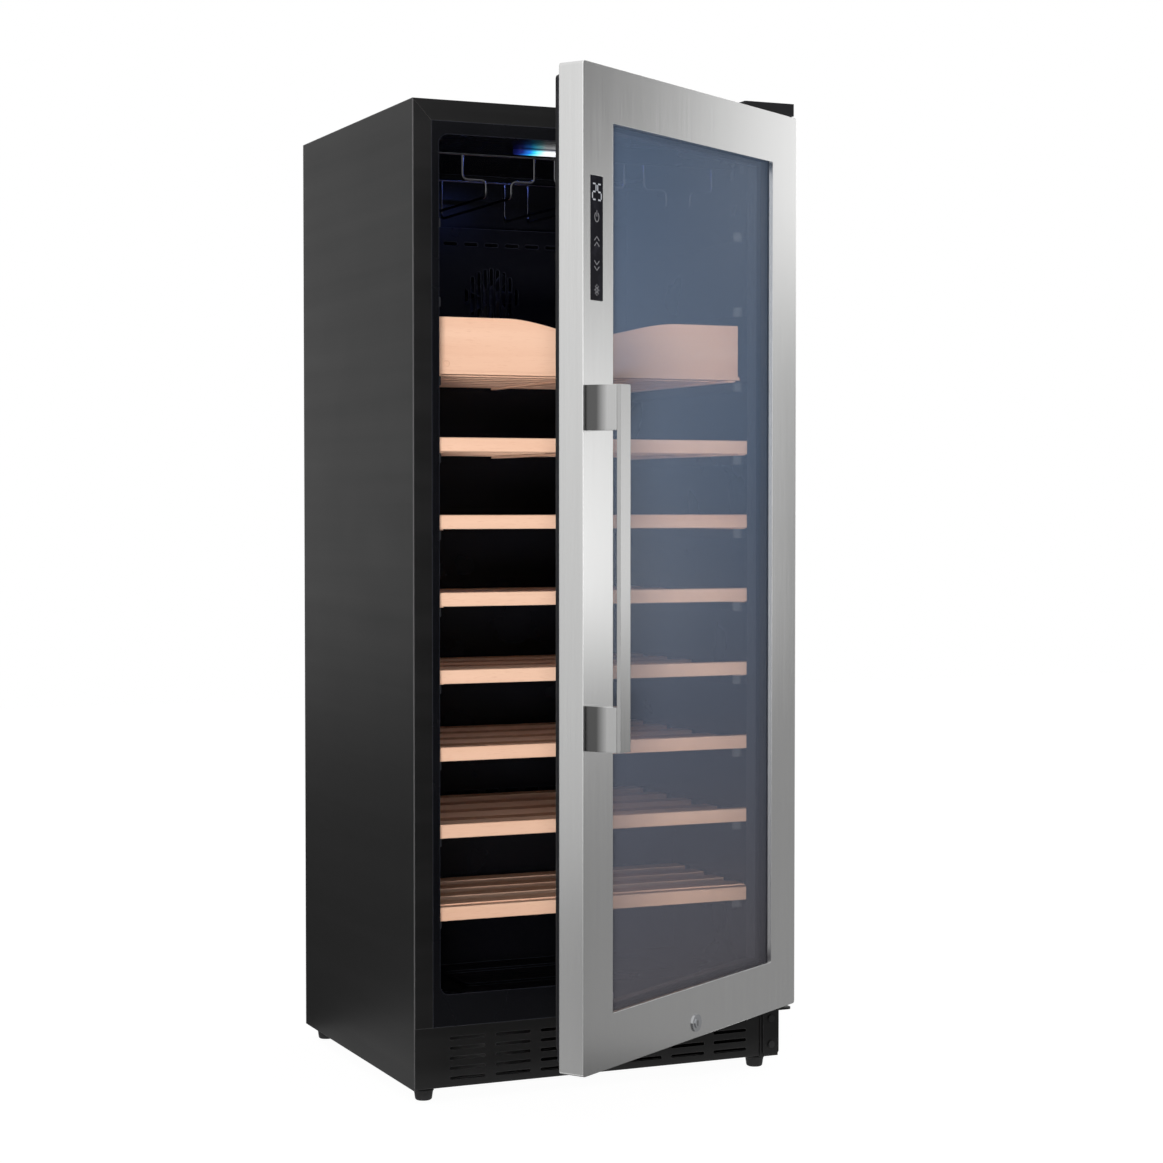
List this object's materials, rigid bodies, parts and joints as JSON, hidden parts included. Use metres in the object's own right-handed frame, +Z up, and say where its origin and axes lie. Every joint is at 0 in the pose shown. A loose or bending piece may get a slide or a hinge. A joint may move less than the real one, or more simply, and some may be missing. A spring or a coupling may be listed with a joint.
{
  "type": "wine cooler",
  "caption": "Tall wine cooler with a glass door in a stainless frame, a bar handle and lock, slatted wooden shelves, a glass tray and a stemware hanger in a black cabinet.",
  "frame": {"origin": "on the floor, under the middle of the cabinet's footprint", "axes": "+Z up, -Y out of the front of the cabinet, +X towards the door's hinges"},
  "size_m": [0.6047, 0.924, 1.472],
  "materials": {
    "cabinet_black": "satin black coat",
    "galvanised": "bare galvanised steel",
    "pin_steel": "ground steel",
    "stainless": "brushed stainless steel",
    "chrome_wire": "chrome plate",
    "foam": "rigid foam",
    "liner_black": "fine grained black plastic",
    "bush_plastic": "natural acetal",
    "rubber_black": "black rubber",
    "foot_black": "black nylon",
    "compressor_shell": "black enamel",
    "copper": "copper tube and fins",
    "evaporator_metal": "plain aluminium",
    "tinted_glass": "grey tinted glass",
    "panel_black": "gloss black",
    "circuit_board": "green board",
    "lamp_white": "frosted diffuser",
    "beech": "oiled beech"
  },
  "bodies": {
    "cabinet": {"side_panel_left": "cabinet_black", "side_panel_right": "cabinet_black", "top_panel": "cabinet_black", "rear_panel": "cabinet_black", "base_pan": "cabinet_black", "machine_deck": "galvanised", "insulation": "foam", "inner_liner": "liner_black", "kick_plate": "cabinet_black", "strike_plate": "galvanised", "lower_hinge_bracket": "cabinet_black", "upper_hinge_bracket": "galvanised", "hinge_pins": "pin_steel", "hinge_cover": "liner_black", "hinge_screws": "galvanised", "compressor": "compressor_shell", "compressor_mounts": "rubber_black", "condenser_coil": "copper", "condenser_shroud": "cabinet_black", "drip_tray": "liner_black", "rear_grille": "cabinet_black", "cord_gland": "rubber_black", "control_box": "liner_black", "drain_tube": "bush_plastic", "duct_panel": "liner_black", "evaporator": "evaporator_metal", "duct_fan_motor": "compressor_shell", "lamp_lens": "lamp_white", "glass_hanger": "chrome_wire", "hanger_clips": "liner_black"},
    "door": {"door_skin": "stainless", "door_core": "foam", "door_liner": "liner_black", "door_gasket": "rubber_black", "hinge_bushes": "bush_plastic", "outer_pane": "tinted_glass", "pane_spacer": "evaporator_metal", "inner_pane": "tinted_glass", "handle_bar": "stainless", "handle_posts": "stainless", "handle_bolts": "galvanised", "touch_panel": "panel_black", "display_board": "circuit_board", "lock_housing": "chrome_wire"},
    "lock_cylinder": {"lock_barrel": "chrome_wire"},
    "condenser_fan": {"condenser_fan": "liner_black"},
    "duct_fan": {"duct_fan": "liner_black"},
    "glass_tray": {"tray_front_board": "beech", "tray_deck": "beech"},
    "display_shelf": {"display_shelf": "beech"},
    "shelf_1": {"shelf_1": "beech"},
    "shelf_2": {"shelf_2": "beech"},
    "shelf_3": {"shelf_3": "beech"},
    "shelf_4": {"shelf_4": "beech"},
    "shelf_5": {"shelf_5": "beech"},
    "shelf_6": {"shelf_6": "beech"},
    "foot_front_left": {"foot_front_left": "foot_black"},
    "foot_front_right": {"foot_front_right": "foot_black"},
    "foot_rear_left": {"foot_rear_left": "foot_black"},
    "foot_rear_right": {"foot_rear_right": "foot_black"}
  },
  "joints": [
    {"name": "door_swing", "type": "hinge", "parent": "cabinet", "child": "door", "pos_m": [0.2841, -0.2829, 0.72], "axis": [0, 0, 1], "range_deg": [-33.27, 86.73]},
    {"name": "lock_turn", "type": "hinge", "parent": "door", "child": "lock_cylinder", "pos_m": [0.05841, -0.45681, 0.128], "axis": [0.5486, -0.8361, 0], "range_deg": [0, 90]},
    {"name": "tray_slide", "type": "slide", "parent": "cabinet", "child": "glass_tray", "axis": [0, -1, 0], "range_m": [0, 0.05]},
    {"name": "shelf_1_slide", "type": "slide", "parent": "cabinet", "child": "shelf_1", "axis": [0, -1, 0], "range_m": [0, 0.025]},
    {"name": "shelf_2_slide", "type": "slide", "parent": "cabinet", "child": "shelf_2", "axis": [0, -1, 0], "range_m": [0, 0.025]},
    {"name": "shelf_3_slide", "type": "slide", "parent": "cabinet", "child": "shelf_3", "axis": [0, -1, 0], "range_m": [0, 0.025]},
    {"name": "shelf_4_slide", "type": "slide", "parent": "cabinet", "child": "shelf_4", "axis": [0, -1, 0], "range_m": [0, 0.025]},
    {"name": "shelf_5_slide", "type": "slide", "parent": "cabinet", "child": "shelf_5", "axis": [0, -1, 0], "range_m": [0, 0.025]},
    {"name": "shelf_6_slide", "type": "slide", "parent": "cabinet", "child": "shelf_6", "axis": [0, -1, 0], "range_m": [0, 0.025]},
    {"name": "display_shelf_slide", "type": "slide", "parent": "cabinet", "child": "display_shelf", "axis": [0, -1, 0], "range_m": [0, 0.025]},
    {"name": "condenser_fan_spin", "type": "hinge", "parent": "cabinet", "child": "condenser_fan", "pos_m": [0.05, 0.16, 0.125], "axis": [1, 0, 0], "continuous": true},
    {"name": "duct_fan_spin", "type": "hinge", "parent": "cabinet", "child": "duct_fan", "pos_m": [0, 0.194, 1.21], "axis": [0, 1, 0], "continuous": true},
    {"name": "foot_front_left_level", "type": "slide", "parent": "cabinet", "child": "foot_front_left", "axis": [0, 0, -1], "range_m": [0, 0.012]},
    {"name": "foot_front_right_level", "type": "slide", "parent": "cabinet", "child": "foot_front_right", "axis": [0, 0, -1], "range_m": [0, 0.012]},
    {"name": "foot_rear_left_level", "type": "slide", "parent": "cabinet", "child": "foot_rear_left", "axis": [0, 0, -1], "range_m": [0, 0.012]},
    {"name": "foot_rear_right_level", "type": "slide", "parent": "cabinet", "child": "foot_rear_right", "axis": [0, 0, -1], "range_m": [0, 0.012]}
  ]
}
